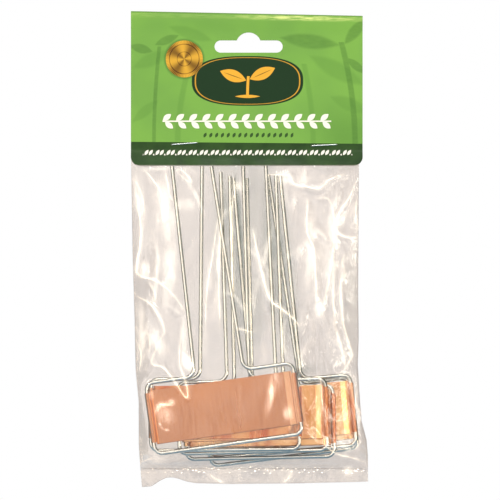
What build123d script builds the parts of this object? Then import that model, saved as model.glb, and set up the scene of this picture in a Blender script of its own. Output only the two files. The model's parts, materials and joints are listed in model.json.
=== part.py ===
from build123d import *
import math
import os

os.makedirs("parts", exist_ok=True)

# A hanging pack of bent-wire plant labels: wires with rolled copper sheets lie in a film bag
# under a folded header card, and two staples hold card and bag together.
# Lengths are in millimetres and angles in degrees. +Z is up, +X runs to the right of the front
# face, and the front faces -Y. The origin is the centre of the hang slot, midway between the
# card's two panels.

# Bent wire of one stake, measured on the wire's centre line
WIRE_DIAMETER = 1.8
STAKE_HEIGHT = 132.0
LOOP_WIDTH = 68.6
LOOP_HEIGHT = 33.0
LOOP_CORNER_RADIUS = 3.6
LEG_SPACING = 22.8
LEG_BEND_RADIUS = 4.5

# Copper sheet of one label
SHEET_THICKNESS = 0.25
LABEL_HALF_TRAVEL = 1.4
TAB_INSET = 1.0
CURL_CLEARANCE = 0.1
LEFT_STRIP_WIDTH = 1.3
LEFT_RAMP_WIDTH = 0.9
RIGHT_STRIP_WIDTH = 2.2
RIGHT_RAMP_WIDTH = 2.8
CREASE_RADIUS = 0.4

# Header card
CARD_THICKNESS = 0.4
CARD_HEIGHT = 70.7
FOLD_SLOPE_HEIGHT = 2.2
CARD_SIDE_MARGIN = 0.85
CARD_OFFSET = -0.85
CARD_CORNER_RADIUS = 4.0
FOLD_INNER_RADIUS = 0.2
FLARE_HEIGHT = 8.7
FLARE_ANGLE = 22.0
FLARE_BEND_RADIUS = 5.0
FOLD_TO_SLOT_DISTANCE = 15.4

# Hang slot: two straight arms and a round-topped bump over their middle
SLOT_WIDTH = 31.7
SLOT_ARM_HEIGHT = 5.7
SLOT_BUMP_WIDTH = 11.0
SLOT_BUMP_HEIGHT = 3.7

# Film bag
FILM_THICKNESS = 0.1
BAG_SPARE_WIDTH = 37.4
BAG_SPARE_LENGTH = 9.3
BAG_TUCK_LENGTH = 30.0
FILM_CLEARANCE = 0.3
CARD_FILM_GAP = 0.05
FLAT_BAG_THICKNESS = 0.3
SEAL_DEPTH = 4.8
SLOPE_HEIGHT = 4.6
FLOOR_HEIGHT = 1.4
FLOOR_DEPTH = 2.6
SKIRT_HEIGHT = 6.5
LOOPS_TOP_GAP = 2.7

# Staples
STAPLE_WIRE_DIAMETER = 0.6
STAPLE_CROWN_LENGTH = 11.6
STAPLE_CLINCH_LENGTH = 4.2
STAPLE_BEND_RADIUS = 0.4
STAPLE_SEAT_CLEARANCE = 0.03
STAPLE_HOLE_CLEARANCE = 0.06
LEFT_STAPLE_INSET = 24.9
LEFT_STAPLE_HEIGHT = 10.15
RIGHT_STAPLE_INSET = 17.8
RIGHT_STAPLE_HEIGHT = 9.45
LEFT_STAPLE_ANGLE = 4.2
RIGHT_STAPLE_ANGLE = 2.8

# One entry for each stake, from the front of the pack to its back
TILT_ANGLES = [8.0, 0.6, 1.5, 1.2, 5.2, 7.1]
LEFT_LEG_LEANS = [1.78, 1.10, -0.26, -0.09, 3.76, 2.23]
RIGHT_LEG_LEANS = [0.99, 1.04, 1.25, 0.87, 0.62, 1.54]
STAKE_X_SHARES = [-0.482, -0.574, 0.122, 0.296, 0.855, 0.895]
STAKE_LIFT_SHARES = [0.204, 0.249, 0.199, 0.117, 0.121, 0.012]
LEFT_LEG_SHARES = [1.000, 1.006, 0.991, 1.001, 0.973, 1.009]
RIGHT_LEG_SHARES = [0.974, 1.004, 1.023, 0.999, 0.967, 1.002]
LABEL_OFFSET_SHARES = [0.30, 0.65, 0.90, 0.85, 0.90, 0.30]

# Depth of the layers: the rolled ends of the first and last pairs lie one behind the other
LAYER_CLEARANCE = 0.2
TIP_LAYER_SHARE = 0.42
LABEL_TOP_SHARE = 1.2
ROLLED_ENDS_MEET = [True, False, False, False, True]

# Places where the bag's folded edges stand, as shares of its width, from top to bottom
MOUTH_EDGE_SHARES = (-0.509, 0.480)
LOOP_EDGE_SHARES = (-0.489, 0.476)
FLOOR_EDGE_SHARES = (-0.485, 0.520)
SEAL_EDGE_SHARES = (-0.480, 0.527)
MOUTH_FLAT_SHARES = (-0.375, 0.172, 0.340)
BACK_FLAT_SHARES = (-0.377, 0.440)
# Lower edge of the skirt, from left to right: place across the seal, drop below the seal
SKIRT_EDGE_SHARES = [(0.0, 1.29), (0.05, 1.32), (0.125, 0.62), (0.27, 1.0), (1.0, 1.0)]

CUT_OVERRUN = 5.0

# Worked out from the sizes above
WIRE_RADIUS = WIRE_DIAMETER / 2
STAKE_COUNT = len(TILT_ANGLES)
CURL_RADIUS = WIRE_RADIUS + CURL_CLEARANCE + SHEET_THICKNESS / 2
CURL_DIAMETER = WIRE_DIAMETER + 2 * (CURL_CLEARANCE + SHEET_THICKNESS)
TAB_LENGTH = LOOP_HEIGHT - 2 * (LOOP_CORNER_RADIUS + LABEL_HALF_TRAVEL)
LABEL_HEIGHT = TAB_LENGTH + 2 * TAB_INSET
LEG_LENGTH = STAKE_HEIGHT - WIRE_RADIUS - LOOP_HEIGHT

BAG_WIDTH = LOOP_WIDTH + BAG_SPARE_WIDTH
CARD_WIDTH = BAG_WIDTH + 2 * CARD_SIDE_MARGIN
CARD_BOTTOM = FOLD_TO_SLOT_DISTANCE - CARD_HEIGHT
CARD_LEFT = CARD_OFFSET - CARD_WIDTH / 2
CARD_RIGHT = CARD_OFFSET + CARD_WIDTH / 2
FLARE_TOP = CARD_BOTTOM + FLARE_HEIGHT
STRAIGHT_TOP = CARD_BOTTOM + CARD_HEIGHT / 2
SEAL_Z = CARD_BOTTOM - STAKE_HEIGHT - BAG_SPARE_LENGTH
LABEL_TOP_Z = SEAL_Z + LABEL_TOP_SHARE * LOOP_HEIGHT

TIP_LAYER_GAP = TIP_LAYER_SHARE * WIRE_DIAMETER
MEETING_LAYER_GAP = CURL_DIAMETER + LAYER_CLEARANCE
PASSING_LAYER_GAP = (CURL_DIAMETER + WIRE_DIAMETER) / 2 + LAYER_CLEARANCE


def blend(start, end, share):
    return start + (end - start) * share


# Depth of the layers: every stake lies in a flat layer, and the layers draw together upwards

def layer_offsets(height):
    """Depths of the layers at one height, counted from their middle."""
    share = (height - CARD_BOTTOM) / (LABEL_TOP_Z - CARD_BOTTOM)
    depths = [0.0]
    for meets in ROLLED_ENDS_MEET:
        wide = MEETING_LAYER_GAP if meets else PASSING_LAYER_GAP
        depths.append(depths[-1] + blend(TIP_LAYER_GAP, wide, share))
    return [depth - depths[-1] / 2 for depth in depths]


def layer_depth(index, height):
    """Y of one stake's layer at one height; the last layer ends over the bag's seal."""
    seal_middle = SEAL_DEPTH - layer_offsets(SEAL_Z)[-1]
    share = (height - CARD_BOTTOM) / (SEAL_Z - CARD_BOTTOM)
    return layer_offsets(height)[index] + blend(0.0, seal_middle, share)


def bar_height(index):
    """Height of the middle of one stake's outer bar."""
    corner_drop = LOOP_WIDTH / 2 * math.sin(math.radians(TILT_ANGLES[index]))
    return SEAL_Z + corner_drop + WIRE_RADIUS + STAKE_LIFT_SHARES[index] * LOOP_HEIGHT


def stake_x(index):
    return STAKE_X_SHARES[index] * BAG_SPARE_WIDTH / 2


def layer_lean(index):
    """Angle by which one stake's layer leans back towards the card, in degrees."""
    rise = CARD_BOTTOM - SEAL_Z
    run = layer_depth(index, CARD_BOTTOM) - layer_depth(index, SEAL_Z)
    return math.degrees(math.atan2(run, rise))


def stake_location(index):
    """Place of one stake, drawn in the XZ plane with its bar's middle at the origin."""
    height = bar_height(index)
    place = Pos(stake_x(index), layer_depth(index, height), height)
    return place * Rot(X=-layer_lean(index)) * Rot(Y=-TILT_ANGLES[index])


def loop_corner(index, side, level):
    """Front view place of a loop corner: side is -1 or 1, level is 0 at the bar, 1 at the shoulders."""
    tilt = math.radians(TILT_ANGLES[index])
    across = side * LOOP_WIDTH / 2
    along = level * LOOP_HEIGHT
    x = stake_x(index) + across * math.cos(tilt) - along * math.sin(tilt)
    z = bar_height(index) + across * math.sin(tilt) + along * math.cos(tilt)
    return x, z


def label_offset(index):
    """How far above the middle of its loop one label rests."""
    return LABEL_OFFSET_SHARES[index] * LABEL_HALF_TRAVEL


# Bent wire: tip, leg, shoulder, side, bar, side, shoulder, leg, tip

def leg_tip(index, side):
    lean = math.radians(LEFT_LEG_LEANS[index] if side < 0 else RIGHT_LEG_LEANS[index])
    length = LEG_LENGTH * (LEFT_LEG_SHARES[index] if side < 0 else RIGHT_LEG_SHARES[index])
    x = side * (LEG_SPACING / 2 - length * math.tan(lean))
    return x, LOOP_HEIGHT + length


def make_stake_wire(index):
    left_tip_x, left_tip_z = leg_tip(index, -1)
    right_tip_x, right_tip_z = leg_tip(index, 1)
    half_width = LOOP_WIDTH / 2
    half_legs = LEG_SPACING / 2
    points = [
        (left_tip_x, 0, left_tip_z),
        (-half_legs, 0, LOOP_HEIGHT),
        (-half_width, 0, LOOP_HEIGHT),
        (-half_width, 0, 0),
        (half_width, 0, 0),
        (half_width, 0, LOOP_HEIGHT),
        (half_legs, 0, LOOP_HEIGHT),
        (right_tip_x, 0, right_tip_z),
    ]
    leg, corner = LEG_BEND_RADIUS, LOOP_CORNER_RADIUS
    path = FilletPolyline(*points, radius=[leg, corner, corner, corner, corner, leg])
    start = Plane(origin=path @ 0, z_dir=path % 0)
    wire = sweep(start * Circle(WIRE_RADIUS), path=path)
    return stake_location(index) * wire


# Copper sheet: one strip, rolled forward round both side runs of the wire's loop

def label_path():
    """Centre line of the sheet seen from below: x across the label, y forward."""
    half = LOOP_WIDTH / 2
    left_end = CenterArc((-half, 0), CURL_RADIUS, 0, 270)
    right_end = CenterArc((half, 0), CURL_RADIUS, -90, 270)
    sheet = FilletPolyline(
        (-half, -CURL_RADIUS),
        (-half + LEFT_STRIP_WIDTH, -CURL_RADIUS),
        (-half + LEFT_STRIP_WIDTH + LEFT_RAMP_WIDTH, 0),
        (half - RIGHT_STRIP_WIDTH - RIGHT_RAMP_WIDTH, 0),
        (half - RIGHT_STRIP_WIDTH, -CURL_RADIUS),
        (half, -CURL_RADIUS),
        radius=CREASE_RADIUS,
    )
    return Wire([left_end.edge()] + list(sheet.edges()) + [right_end.edge()])


def make_label(index):
    path = label_path()
    start = Plane(origin=path @ 0, z_dir=path % 0, x_dir=(0, 0, 1))
    strip = sweep(start * Rectangle(LABEL_HEIGHT, SHEET_THICKNESS), path=path)
    reach = LEFT_STRIP_WIDTH + CURL_DIAMETER
    for side in (-1, 1):
        for end in (-1, 1):
            notch = Box(2 * reach, 2 * CURL_DIAMETER, 2 * TAB_INSET)
            strip -= Pos(side * (LOOP_WIDTH / 2 - LEFT_STRIP_WIDTH + reach), 0, end * LABEL_HEIGHT / 2) * notch
    rest_height = LOOP_HEIGHT / 2 + label_offset(index)
    return stake_location(index) * Pos(0, 0, rest_height) * Rot(X=180) * strip


# Header card: both panels are one folded sheet, and flare below the staples

def flare_reach():
    """How far each panel's inner face stands out at the card's lower edge."""
    angle = math.radians(FLARE_ANGLE)
    bend_depth = FLARE_BEND_RADIUS * (1 - math.cos(angle))
    bend_height = FLARE_BEND_RADIUS * math.sin(angle)
    return bend_depth + (FLARE_HEIGHT - bend_height) * math.tan(angle)


def card_plane(x):
    """Plane of a section across the card: its own x runs backwards, and its own y upwards."""
    return Plane(origin=(x, 0, 0), x_dir=(0, 1, 0), z_dir=(1, 0, 0))


def flared_profile(side):
    """Section of one panel's lower part: side is -1 for the front panel, 1 for the back one."""
    inner = side * FOLD_INNER_RADIUS
    outer = side * (FOLD_INNER_RADIUS + CARD_THICKNESS)
    edge_inner = inner + side * flare_reach()
    edge_outer = edge_inner + side * CARD_THICKNESS / math.cos(math.radians(FLARE_ANGLE))
    centre = (inner + side * FLARE_BEND_RADIUS, FLARE_TOP)
    start = 0 if side < 0 else 180
    inner_bend = CenterArc(centre, FLARE_BEND_RADIUS, start, side * FLARE_ANGLE)
    outer_bend = CenterArc(centre, FLARE_BEND_RADIUS - CARD_THICKNESS, start, side * FLARE_ANGLE)
    return make_face([
        Line((outer, STRAIGHT_TOP), (outer, FLARE_TOP)),
        outer_bend,
        Line(outer_bend @ 1, (edge_outer, CARD_BOTTOM)),
        Line((edge_outer, CARD_BOTTOM), (edge_inner, CARD_BOTTOM)),
        Line((edge_inner, CARD_BOTTOM), inner_bend @ 1),
        inner_bend,
        Line((inner, FLARE_TOP), (inner, STRAIGHT_TOP)),
        Line((inner, STRAIGHT_TOP), (outer, STRAIGHT_TOP)),
    ])


def folded_profile(top):
    """Section of the upper part, where one sheet turns over from the front panel to the back one."""
    inner = FOLD_INNER_RADIUS
    outer = FOLD_INNER_RADIUS + CARD_THICKNESS
    fold_centre = top - outer
    return make_face([
        Line((-outer, STRAIGHT_TOP), (-outer, fold_centre)),
        CenterArc((0, fold_centre), outer, 180, -180),
        Line((outer, fold_centre), (outer, STRAIGHT_TOP)),
        Line((outer, STRAIGHT_TOP), (inner, STRAIGHT_TOP)),
        Line((inner, STRAIGHT_TOP), (inner, fold_centre)),
        CenterArc((0, fold_centre), inner, 0, 180),
        Line((-inner, fold_centre), (-inner, STRAIGHT_TOP)),
        Line((-inner, STRAIGHT_TOP), (-outer, STRAIGHT_TOP)),
    ])


def slot_sketch():
    """Outline of the hang slot, drawn on the card's front."""
    half_arm = SLOT_ARM_HEIGHT / 2
    half_bump = SLOT_BUMP_WIDTH / 2
    radius = (half_bump ** 2 + SLOT_BUMP_HEIGHT ** 2) / (2 * SLOT_BUMP_HEIGHT)
    centre = half_arm + SLOT_BUMP_HEIGHT - radius
    dome = Pos(0, centre) * Circle(radius)
    upper = Pos(0, SLOT_ARM_HEIGHT) * Rectangle(SLOT_WIDTH, 2 * SLOT_ARM_HEIGHT)
    return SlotOverall(SLOT_WIDTH, SLOT_ARM_HEIGHT) + (dome & upper)


def staple_place(side):
    """Place of one staple's crown middle, and its turn in the card's plane."""
    if side < 0:
        return Pos(CARD_LEFT + LEFT_STAPLE_INSET, 0, CARD_BOTTOM + LEFT_STAPLE_HEIGHT) * Rot(Y=-LEFT_STAPLE_ANGLE)
    return Pos(CARD_RIGHT - RIGHT_STAPLE_INSET, 0, CARD_BOTTOM + RIGHT_STAPLE_HEIGHT) * Rot(Y=-RIGHT_STAPLE_ANGLE)


def staple_holes():
    """Round holes for all staple legs, through card and film."""
    radius = STAPLE_WIRE_DIAMETER / 2 + STAPLE_HOLE_CLEARANCE
    depth = 2 * (FOLD_INNER_RADIUS + CARD_THICKNESS + CUT_OVERRUN)
    holes = []
    for side in (-1, 1):
        for end in (-1, 1):
            leg = Pos(end * STAPLE_CROWN_LENGTH / 2, 0, 0) * Rot(X=90) * Cylinder(radius, depth)
            holes.append(staple_place(side) * leg)
    return holes


def make_header_card():
    left = card_plane(CARD_LEFT) * folded_profile(FOLD_TO_SLOT_DISTANCE + FOLD_SLOPE_HEIGHT / 2)
    right = card_plane(CARD_RIGHT) * folded_profile(FOLD_TO_SLOT_DISTANCE - FOLD_SLOPE_HEIGHT / 2)
    card = loft([left, right], ruled=True)
    for panel in (-1, 1):
        card += extrude(card_plane(CARD_LEFT) * flared_profile(panel), amount=CARD_WIDTH)
    depth = 2 * (FOLD_INNER_RADIUS + CARD_THICKNESS + flare_reach() + CUT_OVERRUN)
    card -= extrude(Plane.XZ * slot_sketch(), amount=depth / 2, both=True)
    radius = CARD_CORNER_RADIUS
    for side, edge in ((-1, CARD_LEFT), (1, CARD_RIGHT)):
        square = Pos(edge, 0, CARD_BOTTOM) * Box(2 * radius, depth, 2 * radius)
        round_part = Pos(edge - side * radius, 0, CARD_BOTTOM + radius) * Rot(X=90) * Cylinder(radius, 2 * depth)
        card -= square - round_part
    for hole in staple_holes():
        card -= hole
    return card


# Film bag: rings at a few heights, joined by flat film, and a sealed skirt below

def ring(height, edges, fold_y, front, front_x, side_y, back, back_x, inset):
    """One closed ring of the bag; inset is 0 for the film's outside, or the film's thickness."""
    left, right = edges
    front_left, front_right, side_x = front_x
    back_left, back_right = back_x
    half = FLAT_BAG_THICKNESS / 2 - inset
    points = [
        (left + inset, fold_y - half, height),
        (front_left + inset, front + inset, height),
        (front_right, front + inset, height),
        (side_x - inset, side_y + inset, height),
        (right - inset, fold_y - half, height),
        (right - inset, fold_y + half, height),
        (back_right - inset, back - inset, height),
        (back_left + inset, back - inset, height),
        (left + inset, fold_y + half, height),
    ]
    return make_face(Polyline(*points, close=True))


def bag_edges(shares):
    return tuple(share * BAG_WIDTH for share in shares)


def flat_ring(height, fold_y, shares, inset):
    """A ring pressed flat, as under the staples and at the seal."""
    thin = FLAT_BAG_THICKNESS / 2
    front_x = bag_edges(MOUTH_FLAT_SHARES)
    back_x = bag_edges(BACK_FLAT_SHARES)
    edges = bag_edges(shares)
    return ring(height, edges, fold_y, fold_y - thin, front_x, fold_y - thin, fold_y + thin, back_x, inset)


def flared_ring(height, depth, inset):
    """A ring just inside the flaring part of the card."""
    front_x = bag_edges(MOUTH_FLAT_SHARES)
    back_x = bag_edges(BACK_FLAT_SHARES)
    edges = bag_edges(MOUTH_EDGE_SHARES)
    return ring(height, edges, 0.0, -depth, front_x, -depth, depth, back_x, inset)


def loop_ring(height, level, shares, inset):
    """A ring round the loops; level 0 takes the loops' lower corners, and 1 their upper ones."""
    reach = CURL_DIAMETER / 2 + FILM_CLEARANCE
    front_left = min(loop_corner(i, -1, level)[0] for i in range(STAKE_COUNT)) - reach
    front_right = max(loop_corner(i, 1, level)[0] for i in range(STAKE_COUNT // 3)) + reach
    side_x = max(loop_corner(i, 1, level)[0] for i in range(STAKE_COUNT)) + reach
    front = layer_depth(0, height) - reach
    side_y = layer_depth(STAKE_COUNT - 2, height) - reach
    back = layer_depth(STAKE_COUNT - 1, height) + reach
    fold_y = blend(0.0, SEAL_DEPTH, (height - CARD_BOTTOM) / (SEAL_Z - CARD_BOTTOM))
    edges = bag_edges(shares)
    back_x = (bag_edges(BACK_FLAT_SHARES)[0], side_x)
    front_x = (front_left, front_right, side_x)
    return ring(height, edges, fold_y, front, front_x, side_y, back, back_x, inset)


def floor_ring(height, shares, inset):
    """A narrow ring just above the seal, round the lowest corner of the last stake."""
    half = FLOOR_DEPTH / 2
    middle = layer_depth(STAKE_COUNT - 1, height)
    front_x = bag_edges(MOUTH_FLAT_SHARES)
    back_x = bag_edges(BACK_FLAT_SHARES)
    return ring(height, bag_edges(shares), middle, middle - half, front_x, middle - half, middle + half, back_x, inset)


def bag_tube(inset):
    """The bag's tube, as a solid up to the film's outside or, inset, up to its inside."""
    flare_depth = FOLD_INNER_RADIUS - CARD_FILM_GAP + flare_reach()
    flare_start = FLARE_TOP - FLARE_BEND_RADIUS * math.tan(math.radians(FLARE_ANGLE / 2))
    loops_top = max(loop_corner(i, 1, 1)[1] for i in range(STAKE_COUNT)) + LOOPS_TOP_GAP
    top = CARD_BOTTOM + BAG_TUCK_LENGTH
    rings = [
        flat_ring(top + (CUT_OVERRUN if inset else 0), 0.0, MOUTH_EDGE_SHARES, inset),
        flat_ring(flare_start, 0.0, MOUTH_EDGE_SHARES, inset),
        flared_ring(CARD_BOTTOM, flare_depth, inset),
        loop_ring(loops_top, 1, LOOP_EDGE_SHARES, inset),
        loop_ring(SEAL_Z + SLOPE_HEIGHT, 0, FLOOR_EDGE_SHARES, inset),
        floor_ring(SEAL_Z + FLOOR_HEIGHT, FLOOR_EDGE_SHARES, inset),
        flat_ring(SEAL_Z, SEAL_DEPTH, SEAL_EDGE_SHARES, inset),
    ]
    return loft(rings, ruled=True)


def make_bag():
    left, right = bag_edges(SEAL_EDGE_SHARES)
    points = [(left, SEAL_Z)]
    for across, drop in SKIRT_EDGE_SHARES:
        points.append((blend(left, right, across), SEAL_Z - drop * SKIRT_HEIGHT))
    points.append((right, SEAL_Z))
    skirt_face = make_face(Polyline(*points, close=True))
    skirt = extrude(Plane.XZ * skirt_face, amount=FILM_THICKNESS, both=True)
    bag = bag_tube(0) - bag_tube(FILM_THICKNESS)
    bag += Pos(0, SEAL_DEPTH, 0) * skirt
    for hole in staple_holes():
        bag -= hole
    return bag


# Staples: crown in front, legs through card and film, points turned in behind

def make_staple(side):
    wire_radius = STAPLE_WIRE_DIAMETER / 2
    seat = FOLD_INNER_RADIUS + CARD_THICKNESS + STAPLE_SEAT_CLEARANCE + wire_radius
    half = STAPLE_CROWN_LENGTH / 2
    points = [
        (-half + STAPLE_CLINCH_LENGTH, seat, 0),
        (-half, seat, 0),
        (-half, -seat, 0),
        (half, -seat, 0),
        (half, seat, 0),
        (half - STAPLE_CLINCH_LENGTH, seat, 0),
    ]
    path = FilletPolyline(*points, radius=STAPLE_BEND_RADIUS)
    start = Plane(origin=path @ 0, z_dir=path % 0)
    staple = sweep(start * Circle(wire_radius), path=path)
    return staple_place(side) * staple


parts = {
    "header_card": make_header_card(),
    "bag": make_bag(),
    "staple_left": make_staple(-1),
    "staple_right": make_staple(1),
}
for number in range(STAKE_COUNT):
    parts[f"stake_wire_{number + 1}"] = make_stake_wire(number)
    parts[f"copper_label_{number + 1}"] = make_label(number)

for name, solid in parts.items():
    export_step(solid, f"parts/{name}.step")
    print(f"{name}: {len(solid.solids())} solid, {solid.volume:.1f} mm3")
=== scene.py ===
import json
import math

import bmesh
import bpy
import numpy as np
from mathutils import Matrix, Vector
from mathutils.bvhtree import BVHTree


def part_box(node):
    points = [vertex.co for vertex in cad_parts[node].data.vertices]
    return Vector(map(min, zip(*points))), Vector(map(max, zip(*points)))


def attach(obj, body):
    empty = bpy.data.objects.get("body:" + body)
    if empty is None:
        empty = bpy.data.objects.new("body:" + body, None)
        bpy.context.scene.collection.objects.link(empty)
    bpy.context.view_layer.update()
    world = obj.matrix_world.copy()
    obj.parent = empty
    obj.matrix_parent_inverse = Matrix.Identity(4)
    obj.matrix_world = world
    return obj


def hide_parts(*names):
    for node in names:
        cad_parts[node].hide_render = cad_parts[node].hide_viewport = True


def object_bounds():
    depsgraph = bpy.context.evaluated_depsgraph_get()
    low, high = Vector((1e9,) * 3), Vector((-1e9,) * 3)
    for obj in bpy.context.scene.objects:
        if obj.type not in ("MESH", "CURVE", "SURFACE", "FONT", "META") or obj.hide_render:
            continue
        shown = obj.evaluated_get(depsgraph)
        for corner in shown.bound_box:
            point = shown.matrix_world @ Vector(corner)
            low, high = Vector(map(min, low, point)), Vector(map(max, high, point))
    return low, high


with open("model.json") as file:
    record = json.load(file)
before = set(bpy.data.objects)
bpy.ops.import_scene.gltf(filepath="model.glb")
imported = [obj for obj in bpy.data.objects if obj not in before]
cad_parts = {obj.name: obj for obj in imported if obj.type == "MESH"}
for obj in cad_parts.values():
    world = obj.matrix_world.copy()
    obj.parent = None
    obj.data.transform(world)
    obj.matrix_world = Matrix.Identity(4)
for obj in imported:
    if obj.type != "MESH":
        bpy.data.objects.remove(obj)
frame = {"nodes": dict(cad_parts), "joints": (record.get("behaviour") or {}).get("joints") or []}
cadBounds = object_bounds()
nodes = frame["nodes"]
mm = 0.001
toMm = 1 / mm
cadLow, cadHigh = (Vector(v) / mm for v in cadBounds)
plainWhite = (1, 1, 1, 1)
black = (0, 0, 0, 1)
ahead = Vector((0, 1, 0))    # into the pack from its front
print("frame loaded:", len(nodes), "nodes")


# Small helpers for objects and meshes

def addObject(name, data):
    piece = bpy.data.objects.new(name, data)
    bpy.context.scene.collection.objects.link(piece)
    return piece


def dress(piece, material):
    piece.data.materials.clear()
    piece.data.materials.append(material)


def smooth(mesh):
    mesh.polygons.foreach_set("use_smooth", [True] * len(mesh.polygons))


def newPiece(name, points, faces, material):
    mesh = bpy.data.meshes.new(name)
    mesh.from_pydata([tuple(p) for p in points], [], faces)
    mesh.update()
    mesh.materials.append(material)
    smooth(mesh)
    return addObject(name, mesh)


def evaluated(piece):  # the plain mesh that the piece's modifiers give
    graph = bpy.context.evaluated_depsgraph_get()
    return bpy.data.meshes.new_from_object(piece.evaluated_get(graph))


def bake(piece):
    mesh, old = evaluated(piece), piece.data
    piece.modifiers.clear()
    piece.data = mesh
    bpy.data.meshes.remove(old)


def thicken(piece, thickness, evenly):  # half to each side of the sheet
    solidify = piece.modifiers.new("thickness", "SOLIDIFY")
    solidify.thickness = thickness * mm
    solidify.offset = 0
    solidify.use_even_offset = evenly
    bake(piece)


def rayTree(name):
    mesh = nodes[name].data
    return BVHTree.FromPolygons([v.co for v in mesh.vertices], [p.vertices for p in mesh.polygons])


def depthsAt(tree, place, reach=0.05):  # front and back of what stands there, or nothing
    front = tree.ray_cast(place - ahead * reach, ahead)[0]
    if front is None:
        return None
    return front.y, tree.ray_cast(place + ahead * reach, -ahead)[0].y


# Small helpers for colours, shader trees and Geometry Nodes trees

def toLinear(*parts):
    parts = [c / 255 for c in parts]
    return tuple(c / 12.92 if c <= 0.04045 else ((c + 0.055) / 1.055) ** 2.4 for c in parts) + (1.0,)


class Value:  # what a socket gives; plain sums with it add the nodes for them
    def __init__(self, socket):
        self.socket = socket

    __add__ = __radd__ = lambda self, other: calc("ADD", self, other)
    __mul__ = __rmul__ = lambda self, other: calc("MULTIPLY", self, other)
    __sub__ = lambda self, other: calc("SUBTRACT", self, other)
    __rsub__ = lambda self, other: calc("SUBTRACT", other, self)
    __truediv__ = lambda self, other: calc("DIVIDE", self, other)
    __pow__ = lambda self, other: calc("POWER", self, other)
    __mod__ = lambda self, other: calc("FLOORED_MODULO", self, other)
    __lt__ = lambda self, other: calc("LESS_THAN", self, other)
    __gt__ = lambda self, other: calc("GREATER_THAN", self, other)
    __abs__ = lambda self: calc("ABSOLUTE", self)


def feed(socket, value):
    if isinstance(value, Value):
        socket.id_data.links.new(value.socket, socket)
    else:
        socket.default_value = value


def make(kind, inputs=(), output=0, tree=None, **settings):  # adds a node and gives its output
    inputs = dict(inputs)
    if tree is None:
        tree = next(v.socket.id_data for v in inputs.values() if isinstance(v, Value))
    node = tree.nodes.new(kind)
    for name, setting in settings.items():
        setattr(node, name, setting)
    for place, value in inputs.items():
        feed(node.inputs[place], value)
    return Value(node.outputs[output])


def calc(operation, *values, clamp=False):
    return make("ShaderNodeMath", enumerate(values), operation=operation, use_clamp=clamp)


def largest(first, *others):
    for other in others:
        first = calc("MAXIMUM", first, other)
    return first


def between(share, low, high):
    return share * (high - low) + low


def stepUp(value, low, high):  # smooth 0 to 1 between low and high
    inputs = {"Value": value, "From Min": low, "From Max": high}
    return make("ShaderNodeMapRange", inputs, interpolation_type="SMOOTHSTEP")


def stepDown(value, low, high):
    return 1.0 - stepUp(value, low, high)


def within(value, edges):  # 1 between the two middle edges, fading to 0 at the outer ones
    opens, full, fades, ends = edges
    return stepUp(value, opens, full) * stepDown(value, fades, ends)


def near(value, centre, reach):  # 1 up to reach from the centre, and 0 beyond
    return abs(value - centre) < reach


def axes(point):
    return [Value(output) for output in make("ShaderNodeSeparateXYZ", {0: point}).socket.node.outputs]


def pointAt(x, z):
    return make("ShaderNodeCombineXYZ", {0: x, 2: z})


def mixColour(share, first, second):
    return make("ShaderNodeMix", {0: share, 6: first, 7: second}, 2, data_type="RGBA")


def mixShader(share, first, second):
    return make("ShaderNodeMixShader", {0: share, 1: first, 2: second})


def rayIs(kind, tree):
    return make("ShaderNodeLightPath", output=f"Is {kind} Ray", tree=tree)


def placed(point, location=(0, 0, 0), rotation=(0, 0, 0), scale=(1, 1, 1), kind="POINT"):
    inputs = {"Vector": point, "Location": location, "Rotation": rotation, "Scale": scale}
    return make("ShaderNodeMapping", inputs, vector_type=kind)


def drawnOut(point, share):  # a pattern on it is stretched along z
    return placed(point, scale=(1, 1, share))


def noise(point, scale, detail=2.0, roughness=0.5, distortion=0.0):
    inputs = {"Vector": point, "Scale": scale, "Detail": detail, "Roughness": roughness}
    return make("ShaderNodeTexNoise", inputs | {"Distortion": distortion})


def bump(height, strength, distance, **more):
    return make("ShaderNodeBump", {"Strength": strength, "Distance": distance, "Height": height, **more})


def newMaterial(name):  # gives the material, its object coordinates and the socket for its surface
    material = bpy.data.materials.new(name)
    material.use_nodes = True
    tree = material.node_tree
    tree.nodes.clear()
    surface = tree.nodes.new("ShaderNodeOutputMaterial").inputs["Surface"]
    return material, make("ShaderNodeTexCoord", output="Object", tree=tree), surface


def principled(surface, colour, roughness, metallic, normal, more=()):
    inputs = {"Base Color": colour, "Roughness": roughness, "Metallic": metallic, "Normal": normal}
    feed(surface, make("ShaderNodeBsdfPrincipled", inputs | dict(more)))


# Galvanised wire: softly bright zinc with fine drawing lines and faint mottling

wireLook = {
    "zinc": toLinear(242, 240, 231),
    "dullZinc": toLinear(228, 227, 220),
    "roughness": (0.14, 0.2),
    "spotScale": 900,
    "cloudScale": 45,
    "lineScale": 5200,
    "lineStretch": 0.06,
    "lineDepth": 0.00002,
}
stapleLook = {
    "steel": toLinear(236, 236, 232),
    "dullSteel": toLinear(205, 205, 200),
    "roughness": (0.16, 0.28),
    "grainScale": 6000,
    "grainStretch": 0.08,
    "grainDepth": 0.00003,
}


def makeZinc():
    look = wireLook
    material, point, surface = newMaterial("galvanisedZinc")
    spots = noise(point, look["spotScale"], 3, 0.55)
    clouds = noise(point, look["cloudScale"])
    share = stepUp(clouds * 0.7 + spots * 0.3, 0.32, 0.66)
    colour = mixColour(share, look["dullZinc"], look["zinc"])
    lines = noise(drawnOut(point, look["lineStretch"]), look["lineScale"], 2, 0.6)
    relief = bump(lines, 0.03, look["lineDepth"])
    principled(surface, colour, between(spots, *look["roughness"]), 1.0, relief)
    return material


def makeStapleSteel():
    look = stapleLook
    material, point, surface = newMaterial("stapleSteel")
    grain = noise(placed(point, scale=(look["grainStretch"], 1, 1)), look["grainScale"], 3)
    colour = mixColour(grain, look["dullSteel"], look["steel"])
    relief = bump(grain, 0.1, look["grainDepth"])
    principled(surface, colour, between(grain, *look["roughness"]), 1.0, relief)
    return material


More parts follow.
